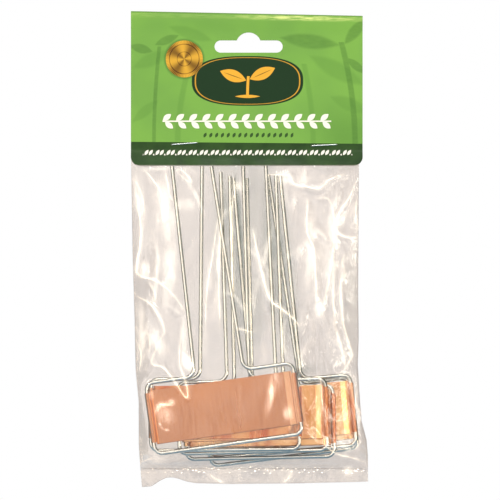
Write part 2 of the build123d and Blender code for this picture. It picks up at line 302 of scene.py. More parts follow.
# Copper sheet: fine rolling lines along each label's short side, with slow colour changes, and painted light:
# reflections, a glow, highlights, shade and a shadow

copperLook = {
    "pale": toLinear(198, 134, 91),
    "deep": toLinear(184, 118, 76),
    # orange and bright: painted reflections; ember: painted darker streaks and shade; glow: a painted glow; lit: a
    # painted highlight; edge: a painted shadow
    "orange": toLinear(220, 138, 66),
    "bright": toLinear(255, 200, 140),
    "ember": toLinear(196, 96, 46),
    "glow": toLinear(255, 158, 66),
    "lit": toLinear(255, 196, 146),
    "edge": toLinear(120, 66, 36),
    "shares": {              # from the front label to the rear one: how much painted reflection, highlight and shade each takes
        "orange": (0.0, 0.75, 0.35, 0.4, 0.35, 0.3),
        "bright": (0.0, 0.35, 0.62, 0.85, 0.95, 1.0),
        "ember": (0.0, 1.0, 0.9, 0.6, 0.5, 0.5),
        "lit": (0.85, 0.6, 0.3, 0.1, 0.0, 0.0),
        "roll": (0.25, 0.5, 0.6, 0.6, 0.6, 0.6),
        "waves": (0.0, 0.3, 0.25, 0.25, 0.2, 0.2),
    },
    "groove": (1.5, 2.1, 3.3, 3.9),  # millimetres from the sheet's left end
    "ramp": (3.3, 3.6, 6.0, 6.3),    # this and the next two from its right end
    "strip": (1.5, 1.9, 2.9, 3.1),
    "roll": (2.6, 3.4),
    "lineScale": 1700,
    "broadScale": 240,
    "cloudScale": 34,
    "streakScale": 110,
    "waveScale": 60,
    "lineDepth": 0.00006,
    "waveDepth": 0.0009,
    # painted shadow along the sheet's lower edge: how far it fades, in metres, and how dark
    "lowEdgeShadowFade": (0.00021, 0.00056),
    "lowEdgeShadowShare": 0.85,
    "roughness": (0.24, 0.34),
}


def sheetEdges(label, tilt):  # left and right ends and lower edge, measured in the sheet's own axes
    c, s = math.cos(tilt), math.sin(tilt)
    across = [v.co.x * c + v.co.z * s for v in label.data.vertices]
    return min(across), max(across), min(v.co.z * c - v.co.x * s for v in label.data.vertices)


def makeCopper(number, tilt, label):
    look = copperLook
    share = {name: values[int(number) - 1] for name, values in look["shares"].items()}
    material, point, surface = newMaterial("copperSheet" + number)
    point = placed(point, rotation=(0, tilt, 0))
    x, _, z = axes(point)
    leftEnd, rightEnd, lowEdge = sheetEdges(label, tilt)
    fromLeft, fromRight = (x - leftEnd) * toMm, (rightEnd - x) * toMm
    lines = noise(drawnOut(point, 0.012), look["lineScale"], 3, 0.65)
    broad = noise(drawnOut(point, 0.05), look["broadScale"])
    clouds = noise(point, look["cloudScale"], 3, 0.55, 0.4)
    streaks = noise(drawnOut(point, 0.22), look["streakScale"], 3, 0.6, 0.3)
    groove = within(fromLeft, look["groove"])  # painted glow in the groove at the left end: copper lit by copper
    # painted highlights on the ramp and the strip at the right end
    ramp = within(fromRight, look["ramp"]) * share["lit"]
    strip = within(fromRight, look["strip"]) * share["lit"]
    colour = mixColour(stepUp(lines, 0.3, 0.72), look["deep"], look["pale"])
    for cover, top in (
        # mottled orange and bright painted reflections, and darker streaks of painted shade, which differ from
        # label to label
        (stepUp(clouds, 0.42, 0.75) * 0.3 + share["orange"], "orange"),
        (share["bright"], "bright"),
        (stepUp(streaks, 0.42, 0.66) * share["ember"], "ember"),
        # painted shade where the sheet rolls round the wire at its right end
        (stepDown(fromRight, *look["roll"]) * share["roll"], "ember"),
        (groove, "glow"),
        (ramp, "lit"),
        (strip, "lit"),
        # painted shadow along the sheet's lower edge
        (stepDown(z - lowEdge, *look["lowEdgeShadowFade"]) * look["lowEdgeShadowShare"], "edge"),
    ):
        colour = mixColour(cover, colour, look[top])
    waves = noise(drawnOut(point, 0.4), look["waveScale"])
    gentle = bump(waves, share["waves"], look["waveDepth"])
    normal = bump(lines * 0.5 + broad * 0.5, 0.2, look["lineDepth"], Normal=gentle)
    metal = 1.0 - largest(groove, ramp, strip)
    principled(surface, colour, between(broad, *look["roughness"]), metal, normal)
    return material


zinc, stapleSteel = makeZinc(), makeStapleSteel()
for joint in frame["joints"]:
    if joint["name"].startswith("label_slide_"):
        number = joint["name"].split("_")[-1]
        tilt = math.atan2(-joint["axis"][0], joint["axis"][2])
        label = nodes["copper_label_" + number]
        dress(label, makeCopper(number, tilt, label))
        dress(nodes["stake_wire_" + number], zinc)
for name in ("staple_left", "staple_right"):
    dress(nodes[name], stapleSteel)
print("wire, copper and staples dressed")


# Header card: one folded sheet, bulging at the fold and flaring below the staples

card = {
    "thickness": 0.4,
    "halfGap": 0.4,          # middle of the sheet to the middle of the card
    "foldRadius": 1.35,
    "foldSlope": 2.2,
    "bulgeEnd": 5.0,         # height where the bulge under the fold has died out
    "flareHeight": 8.7,
    "flareAngle": 22.0,
    "flareBend": 5.0,
    "cornerRadius": 4.0,
    "ripple": 0.22,
    "longWave": 0.21,        # turns of the ripples, in radians for each millimetre
    "shortWave": 0.47,
    "upWave": 0.19,
    "calmWide": 9.0,         # how far from a staple the panels lie still
    "calmHigh": 4.0,
    "calmEdge": 3.0,
    "slotWidth": 31.7,
    "slotHeight": 5.7,
    "bumpWidth": 11.0,
    "bumpHeight": 3.7,
    "stapleWire": 0.6,
    "stapleHole": 0.36,
    "stapleSpread": 5.8,
    "cutReach": 8.0,
    "sharpAngle": 38.0,
    "cornerColumns": 12,
    "middleColumns": 84,
    "rows": [(0, 0.13, 12), (0.13, 0.80, 36), (0.80, 1, 22)],  # close in the flare and in the bulge
    "foldRows": 11,
    "roundSteps": 17,
}
cardLow, cardHigh = (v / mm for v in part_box("header_card"))
cardWidth = cardHigh.x - cardLow.x
staples = []                 # centre and slope of each
for name in ("staple_left", "staple_right"):
    low, high = (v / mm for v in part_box(name))
    slope = (high.z - low.z - card["stapleWire"]) / (high.x - low.x - card["stapleWire"])
    staples.append(((low.x + high.x) / 2, (low.z + high.z) / 2, slope))


def foldStart(x):  # height where a panel turns into the fold
    return cardHigh.z - card["thickness"] / 2 - card["foldSlope"] * (x - cardLow.x) / cardWidth - card["foldRadius"]


def flareDepth(z):  # how far a panel has left the flat part at height z
    drop = cardLow.z + card["flareHeight"] - z
    angle, bend = math.radians(card["flareAngle"]), card["flareBend"]
    if drop <= 0:
        return 0.0
    if drop < bend * math.sin(angle):
        return bend - math.sqrt(bend ** 2 - drop ** 2)
    return bend * (1 - math.cos(angle)) + (drop - bend * math.sin(angle)) * math.tan(angle)


def panelDepth(x, z, side):  # middle of the sheet, measured away from the card's middle
    bulgeEnd = card["bulgeEnd"]
    share = min(max((z - bulgeEnd) / (foldStart(x) - bulgeEnd), 0), 1)
    bulge = (card["foldRadius"] - card["halfGap"]) * share * share * (3 - 2 * share)
    calm = min(1, max(0, (z - cardLow.z) / card["calmEdge"]))
    for stapleX, stapleZ, _ in staples:
        away = ((x - stapleX) / card["calmWide"]) ** 2 + ((z - stapleZ) / card["calmHigh"]) ** 2
        calm *= 1 - math.exp(-away)
    longWave = math.sin(x * card["longWave"] + side * 1.3 + 0.6 * math.sin(z * 0.16))
    shortWave = math.sin(x * card["shortWave"] + z * 0.11 + 2.0 * side)
    upWave = math.sin(z * card["upWave"] + x * 0.05 + side)
    wave = (0.5 + 0.25 * longWave + 0.25 * shortWave) * (0.5 + 0.5 * upWave)
    return card["halfGap"] + flareDepth(z) + bulge + card["ripple"] * wave * calm


def roundedBottom(x):
    radius = card["cornerRadius"]
    inset = min(x - cardLow.x, cardHigh.x - x)
    if inset >= radius:
        return cardLow.z
    return cardLow.z + radius - math.sqrt(max(radius ** 2 - (radius - inset) ** 2, 0))


def makeCardSheet(material):
    radius = card["cornerRadius"]
    corner = radius * (1 - np.cos(np.linspace(0, math.pi / 2, card["cornerColumns"])))
    middle = np.linspace(cardLow.x + radius, cardHigh.x - radius, card["middleColumns"])
    columns = [*(cardLow.x + corner[:-1]), *middle, *(cardHigh.x - corner[-2::-1])]
    rise = np.unique(np.concatenate([np.linspace(*part) for part in card["rows"]]))
    turn = np.linspace(0, math.pi, card["foldRows"])[1:-1]
    points = []
    for x in columns:
        low, start = roundedBottom(x), foldStart(x)
        heights = low + (start - low) * rise
        front, back = ([panelDepth(x, z, side) for z in heights] for side in (-1, 1))
        points += [(x, -y, z) for y, z in zip(front, heights)]
        for a in turn:
            reach = front[-1] if a < math.pi / 2 else back[-1]
            points.append((x, -reach * math.cos(a), start + card["foldRadius"] * math.sin(a)))
        points += [(x, y, z) for y, z in zip(back[::-1], heights[::-1])]
    rows = 2 * len(rise) + len(turn)
    starts = range(0, (len(columns) - 1) * rows, rows)
    faces = [(a, a + rows, a + rows + 1, a + 1) for start in starts for a in range(start, start + rows - 1)]
    sheet = newPiece("headerCard", [Vector(p) * mm for p in points], faces, material)
    thicken(sheet, card["thickness"], True)
    return sheet


def slotOutline():
    half, wide = card["slotHeight"] / 2, card["slotWidth"] / 2
    bumpHalf, bumpHigh = card["bumpWidth"] / 2, card["bumpHeight"]
    domeRadius = (bumpHalf ** 2 + bumpHigh ** 2) / (2 * bumpHigh)
    domeZ = half + bumpHigh - domeRadius
    reach = math.atan2(bumpHalf, half - domeZ)
    turns = np.linspace(reach, -reach, card["roundSteps"])
    outline = [(domeRadius * math.sin(a), domeZ + domeRadius * math.cos(a)) for a in turns]
    for side in (-1, 1):
        for a in np.linspace(0, math.pi, 15) - side * math.pi / 2:
            outline.append((side * (wide - half) + half * math.cos(a), half * math.sin(a)))
    return outline


def addPrism(shape, outline, centreX=0, centreZ=0):
    reach = card["cutReach"]
    front = [shape.verts.new(Vector((x + centreX, -reach, z + centreZ)) * mm) for x, z in outline]
    extruded = bmesh.ops.extrude_face_region(shape, geom=[shape.faces.new(front)])
    moved = [v for v in extruded["geom"] if isinstance(v, bmesh.types.BMVert)]
    bmesh.ops.translate(shape, verts=moved, vec=Vector((0, 2 * reach, 0)) * mm)


def cutHoles(piece):
    shape = bmesh.new()
    addPrism(shape, slotOutline())
    turns = np.linspace(0, 2 * math.pi, card["roundSteps"])[:-1]
    ring = [(math.cos(a) * card["stapleHole"], math.sin(a) * card["stapleHole"]) for a in turns]
    for stapleX, stapleZ, slope in staples:
        for x in (-card["stapleSpread"], card["stapleSpread"]):
            addPrism(shape, ring, stapleX + x, stapleZ + x * slope)
    bmesh.ops.recalc_face_normals(shape, faces=shape.faces)
    tool = addObject("cutter", bpy.data.meshes.new("cutter"))
    shape.to_mesh(tool.data)
    shape.free()
    cut = piece.modifiers.new("slot", "BOOLEAN")
    cut.operation = "DIFFERENCE"
    cut.solver = "MANIFOLD"
    cut.object = tool
    bake(piece)
    bpy.data.objects.remove(tool)
    smooth(piece.data)
    piece.data.set_sharp_from_angle(angle=math.radians(card["sharpAngle"]))


# Print of the header card: plain generic shapes, measured in millimetres

printLook = {
    "green": toLinear(104, 148, 65),
    "freshGreen": toLinear(111, 156, 66),
    "shadowGreen": toLinear(80, 124, 50),
    "deepGreen": toLinear(54, 94, 36),
    "band": toLinear(31, 55, 22),
    "paleBand": toLinear(42, 69, 28),
    "plaque": toLinear(20, 46, 21),
    "cream": toLinear(222, 217, 206),
    "gold": toLinear(211, 160, 52),
    "darkGold": toLinear(74, 42, 8),
    "ochre": toLinear(212, 154, 48),
    "paper": toLinear(214, 204, 184),
    "dullPaper": toLinear(205, 198, 180),
    # painted highlight along the top fold
    "foldHighlight": toLinear(220, 226, 140),
    "gloss": {"Specular IOR Level": 0.08, "Coat Weight": 0.07, "Coat Roughness": 0.16},
}

# leaves: x, z, turn, length, width, softness; stems: foot x, foot z, top z, bend, width, softness
printPlan = {
    "farLeaves": [(-45, -6, 24, 22, 8, 0.5), (-27, 6, -18, 24, 7, 0.5), (41, -11, -28, 32, 10, 0.5),
                  (47, -27, -22, 22, 8, 0.5), (-48, -30, 40, 18, 6, 0.5)],
    "farStems": [(-33, -46, 0, 0.004, 0.7, 1.2), (30, -46, -8, -0.003, 0.6, 1.2)],
    "nearLeaves": [(28.5, 2.4, -7, 31, 8.5, 0.45), (49.5, 7, 50, 17, 6.5, 0.45),
                   (50, -9, -38, 13, 4.5, 0.35), (-50, -1, -14, 12, 5, 0.35), (-38, 3, 22, 13, 4.6, 0.35)],
    "nearStems": [(49.5, -46, 2, -0.0028, 0.9, 0.8), (-44, -46, 0, 0.0012, 0.5, 0.7)],
    "garland": [(-0.1, -32.9, 38, 4.9, 2.7), (0.9, -36.6, -38, 4.9, 2.7)],
    "seeds": [(0, -41.2, 62, 2.7, 1.5, 0.2)],
    "sproutLeaves": [(-7.2, -13.6, -20, 13, 5.6, 0.05), (6.4, -12.6, 24, 13, 5.6, 0.05),
                     (-0.5, -23.2, 0, 12, 1.6, 0.1)],
    "sproutStems": [(-0.5, -23.5, -13.8, 0.004, 0.55, 0.15)],
    "ribLeaves": [(-7.2, -13.6, -20, 10.5, 0.5, 0.3), (6.4, -12.6, 24, 10.5, 0.5, 0.3)],
    "beads": [(-1.1, -49.3, 55, 3.1, 1.5, 0.16), (0.9, -49.3, 55, 3.1, 1.5, 0.16),
              (2.35, -50.3, 0, 1.0, 1.0, 0.3)],
    "rows": {                # start and step; then middle and reach of the row, across and up
        "garland": (40.9, 6.1, -0.8, 39.2, -34.7, 4.4),
        "seeds": (21.6, 2.7, -0.4, 21.2, -41.2, 1.9),
        "beads": (48.9, 5.12, -0.5, 48.6, -49.4, 2.2),
    },
    "garlandStem": (-34.75, 0.32),
    "freshHeights": (-28, -44),
    "lowRightShade": (22, 46, -20, -42),
    "bandTop": -44.75,
    "bandSlope": -0.0085,
    "plaqueCentre": (-0.5, -16.0),
    "plaqueHalf": (26.0, 11.6),
    "plaquePower": 2.6,
    "plaqueRim": (0.80, 0.82, 0.85, 0.87),
    "medalCentre": (-29.9, -5.8),
    "medalRadius": 8.5,
    "medalRibs": 72.0,
    "medalRings": [(6.9, 0.22, 0.45), (3.3, 0.16, 0.4)],  # radius, half width, depth
    "foldHighlightHeights": (0.35, 1.3, 1.9, 3.4),
    "slotReach": (16.2, 6.8),
}


def leafMask(point, x, z, turn, length, width, softness):
    local = placed(point, (x, 0, z), (0, -math.radians(turn), 0), (length / 2, 1, width / 2), "TEXTURE")
    along, _, across = axes(local)
    return stepUp(1.0 - along * along - abs(across), 0.0, softness)


def stemMask(x, z, footX, footZ, topZ, bend, width, softness):
    rise = z - footZ
    away = abs(x - (rise * rise * bend + footX))
    return stepDown(away, width, width + softness) * ((z > footZ) * (z < topZ))


def growth(point, x, z, name):  # one mask from the plan's leaves and stems of that name
    leaves = (leafMask(point, *leaf) for leaf in printPlan[name + "Leaves"])
    return largest(*leaves, *(stemMask(x, z, *stem) for stem in printPlan.get(name + "Stems", ())))


def rowMask(x, z, name, softness=(), *extra):  # the row's leaves, drawn anew at each step across
    start, step, middleX, reachX, middleZ, reachZ = printPlan["rows"][name]
    point = pointAt((x + start) % step - step / 2, z)
    leaves = (leafMask(point, *leaf, *softness) for leaf in printPlan[name])
    return largest(*leaves, *extra) * near(x, middleX, reachX) * near(z, middleZ, reachZ)


def garlandMask(x, z, softness):  # paired leaves along a fine stem
    return rowMask(x, z, "garland", (softness,), near(z, *printPlan["garlandStem"]))


def printGround(flat, x, z):  # soft greens, with dim leaves in them and painted shade over the lower right corner
    look = printLook
    colour = mixColour(stepUp(noise(flat, 0.035, 2, 0.5, 0.3), 0.35, 0.68), look["green"], look["freshGreen"])
    colour = mixColour(stepUp(z, *printPlan["freshHeights"]) * 0.5, colour, look["freshGreen"])
    # painted shade over the lower right corner
    left, right, high, low = printPlan["lowRightShade"]
    colour = mixColour(stepUp(x, left, right) * stepUp(z, high, low) * 0.55, colour, look["shadowGreen"])
    colour = mixColour(growth(flat, x, z, "far") * 0.34, colour, look["shadowGreen"])
    veins = noise(placed(flat, scale=(0.2, 1, 0.6)), 1.2, 3)
    return mixColour(growth(flat, x, z, "near") * (veins * 0.35 + 0.22), colour, look["deepGreen"])


def printRows(colour, x, z):  # a cream garland over its own shadow, and a row of small dark seeds
    look = printLook
    colour = mixColour(garlandMask(x - 0.35, z + 0.4, 0.5) * 0.55, colour, look["shadowGreen"])
    colour = mixColour(garlandMask(x, z, 0.14), colour, look["cream"])
    return mixColour(rowMask(x, z, "seeds") * 0.85, colour, look["plaque"])


def printPlaque(colour, flat, x, z):  # a wide oval with a sprout on it
    look, plan = printLook, printPlan
    parts = [abs((v - middle) / half) for v, middle, half in zip((x, z), plan["plaqueCentre"], plan["plaqueHalf"])]
    edge = parts[0] ** plan["plaquePower"] + parts[1] ** plan["plaquePower"]
    colour = mixColour(stepDown(edge, 0.97, 1.01), colour, look["plaque"])
    colour = mixColour(within(edge, plan["plaqueRim"]) * 0.8, colour, look["ochre"])
    colour = mixColour(growth(flat, x, z, "sprout"), colour, look["ochre"])
    return mixColour(growth(flat, x, z, "rib") * 0.7, colour, look["plaque"])


def printMedal(colour, x, z):  # a plain gold disc, ribbed round its rim
    look, plan = printLook, printPlan
    dx, dz = x - plan["medalCentre"][0], z - plan["medalCentre"][1]
    distance, angle = calc("SQRT", dx * dx + dz * dz), calc("ARCTAN2", dz, dx)
    sheen = calc("SINE", angle * 4.0 + 0.9) * 0.34 + 0.52
    sheen = calc("SINE", angle * plan["medalRibs"]) * (distance > 7.4) * 0.2 + sheen
    for radius, half, depth in plan["medalRings"]:
        sheen = sheen - near(distance, radius, half) * depth
    gold = mixColour(sheen, look["darkGold"], look["gold"])
    colour = mixColour(stepDown(distance, 8.6, 10.0) * 0.45, colour, look["plaque"])
    return mixColour(stepDown(distance, plan["medalRadius"], plan["medalRadius"] + 0.2), colour, gold)


def foldHighlight(flat, x, z):  # painted highlight where the card turns over at the top, broken into patches
    slope = card["foldSlope"] / cardWidth
    below = cardHigh.z + slope * cardLow.x - (x * slope + z)
    patchy = stepUp(noise(placed(flat, scale=(0.16, 1, 1.6)), 1.0, 3, 0.6), 0.34, 0.62)
    most = stepDown(abs(x - 24.0), 3.0, 36.0)
    return within(below, printPlan["foldHighlightHeights"]) * (patchy * (most * 0.75 + 0.1))


def cutEdges(x, z):  # where the board shows
    normal = make("ShaderNodeNewGeometry", output="True Normal", tree=x.socket.id_data)
    normalX, _, normalZ = axes(normal)
    wide, high = printPlan["slotReach"]
    inSlot = near(x, 0.0, wide) * (near(z, 0.0, high) * (abs(normalZ) > 0.6))
    return largest(abs(normalX) > 0.75, normalZ < -0.8, inSlot)


def makeCardPrint():
    look, plan = printLook, printPlan
    material, point, surface = newMaterial("printedCard")
    point = placed(point, scale=(toMm, toMm, toMm))
    x, y, z = axes(point)
    flat = pointAt(x, z)
    colour = printRows(printGround(flat, x, z), x, z)
    colour = printMedal(printPlaque(colour, flat, x, z), x, z)
    band = stepDown(z - (x * plan["bandSlope"] + plan["bandTop"]), -0.1, 0.1)
    bandColour = mixColour(stepUp(noise(flat, 0.12, 3), 0.3, 0.7), look["band"], look["paleBand"])
    colour = mixColour(band, colour, bandColour)
    colour = mixColour(rowMask(x, z, "beads"), colour, look["cream"])
    colour = mixColour(foldHighlight(flat, x, z), colour, look["foldHighlight"])
    colour = mixColour(y < 0.0, mixColour(band, look["green"], bandColour), colour)  # plain greens behind
    paper = mixColour(noise(point, 4.0, 3), look["paper"], look["dullPaper"])
    colour = mixColour(cutEdges(x, z), colour, paper)
    relief = noise(flat, 0.9, 4, 0.6)
    principled(surface, colour, relief * 0.12 + 0.26, 0.0, bump(relief, 0.08, 0.0001), look["gloss"])
    return material


headerCard = makeCardSheet(makeCardPrint())
cutHoles(headerCard)
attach(headerCard, "pack")
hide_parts("header_card")
print("header card:", len(headerCard.data.polygons), "faces")


# Film bag: a loose tube of film drawn over the stakes, flat at the mouth and at the seal

film = {
    "thickness": 0.09,
    "mouthZ": -25.4,
    "sealZ": -196.6,
    "sealDepth": 4.8,
    "mouthHalf": 0.12,
    "spacing": 0.9,
    "lowEdgeShadowShare": 0.07,       # part of the width with close columns, at each side
    "clearance": 0.25,
    "spread": 2,             # cells round each that the clearance holds for
    "puff": 0.0006,          # how strongly the sheets bow outwards
    "rounds": 60,
    "leastRoom": 0.02,
    "backCreases": 0.8,      # share of the front's strength
    "backGlare": 0.6,
    "sideFade": 0.05,        # share of the width over which creases fade in from each side
    "cardFade": 4.0,
    "sealFade": 5.0,
    "slowWaves": 5,
    "slowWave": 0.16,
    "skirtWave": 0.35,
    "cornerCurl": 1.2,
    "cornerPlace": (-50.0, 7.0),
    "limitX": (-56, 57),     # the grid on which the stakes' limits are read
    "limitZ": (-200, -50),
    "leftEdge": [(-25, -53.9), (-55, -54.6), (-95, -54.0), (-127, -53.1), (-151, -52.6), (-165, -51.2),
                 (-185, -51.2), (-197, -50.4), (-206, -49.6)],
    "rightEdge": [(-25, 50.9), (-55, 51.3), (-115, 51.0), (-135, 51.3), (-148, 50.9), (-160, 51.6),
                  (-174, 52.6), (-183, 55.0), (-190, 55.6), (-206, 55.7)],
    "skirtEdge": [(-50.5, -205.1), (-46, -204.8), (-42, -202.2), (-39, -200.8), (-36.5, -200.6),
                  (-33.5, -201.2), (-29.5, -202.6), (-25, -203.4), (-8, -203.7), (24, -203.4), (55.7, -202.6)],
}

# how a crease's line width sets its form: the value with no width, and what each millimetre adds
crease = {
    "ridgeWidth": (1.1, 2.2),
    "ridgeHeight": (0.55, 1.6),
    "glintWidth": (0.5, 1.0),
    "glintStrength": (0.18, 0.5),
    "leastRidge": 0.8,
    "unevenness": 0.4,
    "reach": 6,
    "step": 0.7,
}

loose = {
    "starts": (-49, 47),
    "spanX": (-50, 48),
    "spanZ": (-193, -57),
    "length": (7, 24),
    "width": (0.12, 0.4),
    "lean": 0.45,            # radians from upright, and from one step to the next
    "turn": 0.35,
    "steps": 3,
}

# creases of the front sheet: places in millimetres, and the width of the bright line
creaseLines = [
    ([(-48.6, -57.0), (-44.4, -62.0), (-41.7, -65.9), (-39.6, -71.3), (-39.1, -76.7)], 0.30),
    ([(-38.6, -58.2), (-37.4, -64.3), (-36.7, -69.0), (-34.4, -72.8)], 0.25),
    ([(-34.4, -58.2), (-31.3, -57.5), (-26.6, -62.4), (-28.0, -62.9), (-32.8, -58.8)], 0.35),
    ([(-53.6, -61.2), (-49.8, -68.2), (-48.2, -79.0)], 0.30),
    ([(-52.5, -73.6), (-50.2, -81.3), (-50.5, -92.9), (-51.7, -99.8), (-51.2, -106.0), (-42.1, -109.1),
      (-34.4, -116.0), (-29.0, -123.7)], 0.45),
    ([(-52.1, -116.0), (-45.1, -119.9), (-40.5, -126.8), (-39.0, -131.4)], 0.35),
    ([(-46.7, -109.1), (-43.2, -114.5), (-44.0, -119.9)], 0.25),
    ([(-14.3, -79.8), (-16.6, -96.7), (-18.9, -110.6), (-19.7, -119.9), (-20.1, -131.4)], 0.30),
    ([(-12.6, -79.8), (-13.5, -93.6), (-13.8, -112.1), (-13.5, -119.9), (-13.3, -131.4)], 0.35),
    ([(-5.8, -63.2), (-6.4, -67.4), (-7.8, -75.9), (-7.7, -89.0), (-7.5, -104.4), (-7.0, -116.8)], 0.40),
    ([(1.9, -85.2), (5.7, -102.9), (9.6, -116.8), (15.8, -122.2), (21.2, -126.8), (23.9, -130.7)], 0.60),
    ([(8.8, -59.7), (18.1, -59.9), (21.2, -63.9), (26.6, -65.1), (32.7, -65.9), (37.4, -62.0), (44.3, -59.3)],
      0.50),
    ([(50.1, -62.8), (46.6, -70.5), (42.8, -75.9), (40.4, -81.3), (41.2, -85.9), (44.3, -88.2), (50.9, -89.0)],
      0.40),
    ([(27.3, -71.3), (27.0, -85.2), (30.0, -93.6), (30.8, -104.4), (32.0, -119.9), (33.5, -123.7)], 0.45),
    ([(31.2, -70.5), (37.4, -71.3), (39.7, -81.3), (39.3, -93.6), (38.1, -102.9), (36.6, -112.1),
      (33.5, -123.7)], 0.45),
    ([(39.7, -93.6), (39.3, -116.0), (40.4, -131.4)], 0.25),
    ([(44.7, -96.7), (43.5, -100.6), (44.7, -104.4), (42.8, -110.6), (43.1, -119.9), (44.3, -131.4)], 0.35),
    ([(50.6, -69.0), (49.7, -77.4), (50.9, -84.4)], 0.25),
    ([(-41.3, -127.2), (-39.0, -131.8), (-42.1, -138.7), (-44.8, -146.8), (-39.7, -148.8), (-34.4, -154.9),
      (-29.0, -162.8), (-28.2, -159.6), (-30.1, -152.6), (-32.0, -145.7), (-31.1, -131.8)], 0.30),
    ([(-30.6, -141.8), (-27.4, -145.7), (-25.1, -149.2)], 0.60),
    ([(38.9, -127.2), (42.8, -138.7), (44.7, -147.2), (44.3, -150.3)], 0.35),
    ([(43.5, -127.2), (47.4, -141.1), (47.9, -143.8), (44.7, -150.3)], 0.40),
    ([(33.9, -183.9), (40.4, -188.9), (48.2, -191.2), (54.3, -193.5)], 0.25),
    ([(40.1, -185.9), (45.1, -187.5), (49.7, -186.6), (52.2, -182.7)], 0.25),
    ([(29.7, -153.4), (33.1, -154.0), (33.9, -164.2), (35.8, -170.4)], 0.30),
    ([(50.5, -159.6), (49.7, -165.7), (52.6, -171.3)], 0.35),
    ([(-18.2, -198.9), (-15.5, -201.4), (-11.8, -203.0)], 0.40),
    ([(20.6, -197.2), (18.9, -200.4), (16.5, -202.9)], 0.50),
    ([(-50.5, -193.4), (-48.2, -192.3), (-44.4, -190.4)], 0.30),
    ([(-52.3, -136.4), (-49.9, -142.6), (-50.5, -150.3)], 0.30),
    ([(-47.5, -131.8), (-45.9, -136.4), (-46.1, -142.6)], 0.25),
    ([(-5.8, -130.6), (-1.2, -131.8), (1.9, -132.6), (3.4, -131.0)], 0.35),
]

# soft bright places of the front sheet: x, z, half width, half height, turn, strength
glarePlaces = [
    (-38.6, -78.6, 4.5, 15, 8, 0.55), (-41.8, -167.4, 1.0, 3.0, -25, 0.85), (-38.6, -166.0, 3.8, 0.9, 6, 0.95),
    (-36.0, -165.0, 2.4, 1.7, 10, 0.5), (-38.6, -171.0, 4.0, 4.6, 10, 0.3), (-40.6, -175.6, 0.45, 2.0, 25, 0.7),
    (-38.0, -177.6, 1.6, 0.45, -8, 0.55), (-45.0, -161.0, 1.2, 2.6, 0, 0.6), (-36.5, -104, 3.4, 19, -3, 0.50),
    (-50.5, -72, 2.4, 12, 6, 0.40),
    (-49.0, -104, 3.6, 4.5, 20, 0.45), (-29.5, -73.5, 7, 3.0, 0, 0.20), (-13.8, -96, 1.2, 17, -3, 0.45),
    (34.5, -96, 6.5, 24, -2, 0.15), (28.9, -92, 2.6, 20, -6, 0.40), (33.0, -122, 2.6, 4.5, 0, 0.60),
    (38.8, -92, 2.4, 20, 2, 0.35), (-42.5, -137, 3.2, 7, 20, 0.45), (-28.3, -146.5, 2.6, 4.2, 30, 0.70),
    (10.2, -161.8, 1.9, 9.6, -14, 0.75), (12.2, -155.5, 2.8, 5.0, -14, 0.35),
    (18.2, -170, 2.6, 3.8, -20, 0.45), (7.6, -98, 1.1, 14, -14, 0.35),
    (21, -62, 9, 2.0, 0, 0.35), (-4.5, -65, 3.0, 2.6, 0, 0.30), (-49.5, -132, 2.8, 16, 4, 0.40),
    (49, -158, 3, 6, 0, 0.35), (0, -196, 40, 2.2, 0, 0.18), (46.5, -197.5, 2.5, 2.4, 0, 0.40),
    (-30, -136, 1.8, 14, -3, 0.30), (-20, -138, 1.4, 9, 0, 0.25), (-46.5, -191.5, 8, 6, 0, 0.16),
]

# soft darker places of the back sheet, where it mirrors the wires: the same six numbers
shadePlaces = [
    (-4.3, -86, 2.0, 30, 4, 0.80), (-6.5, -100, 9.5, 50, 5, 0.36), (2.6, -74, 4.5, 34, 0, 0.22),
    (13.0, -98, 8.5, 50, 7, 0.38), (10.6, -88, 1.7, 24, 7, 0.58), (15.6, -96, 1.8, 26, 7, 0.54),
    (2.0, -122, 7.0, 22, 0, 0.26), (-11.0, -72, 2.2, 16, 8, 0.45),
    (5.0, -187, 40, 7.5, 3, 0.26), (-38.5, -185, 6, 3.0, 0, 0.05), (22, -150.5, 10, 3.5, 3, 0.30),
    (47, -118, 5, 26, 0, 0.10),
]


def edgeAt(points, z):
    heights, places = zip(*points[::-1])
    return np.interp(z, heights, places)


def smoothLine(points, step):  # a rounded line through the points, cut into short steps
    points = np.array(points, float)
    padded = np.vstack([2 * points[0] - points[1], points, 2 * points[-1] - points[-2]])
    line = []
    for i in range(1, len(padded) - 2):
        a, b, c, d = padded[i - 1:i + 3]
        count = max(2, int(np.linalg.norm(c - b) / step))
        for t in np.linspace(0, 1, count, endpoint=False):
            bend, turn = 2 * a - 5 * b + 4 * c - d, 3 * b - a - 3 * c + d
            line.append(0.5 * (2 * b + (c - a) * t + bend * t * t + turn * t ** 3))
    return np.array([*line, points[-1]])


def movingTrees():  # collision trees of wires and labels, with the shifts of each one's travel
    joints = {j["name"]: j for j in frame["joints"]}
    found = []
    for number in range(1, 7):
        stake, slide = joints[f"stake_slide_{number}"], joints[f"label_slide_{number}"]["range_m"]
        low, high = stake["range_m"]
        labelEnds = low + slide[0], high + slide[1]
        for kind, shifts in (("stake_wire_", (low, 0, high)), ("copper_label_", (labelEnds[0], 0, labelEnds[1]))):
            name = kind + str(number)
            found.append((rayTree(name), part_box(name), [Vector(stake["axis"]) * s for s in shifts]))
    return found


def cellsWithin(places, low, high):
    return np.nonzero((places * mm > low) & (places * mm < high))[0]


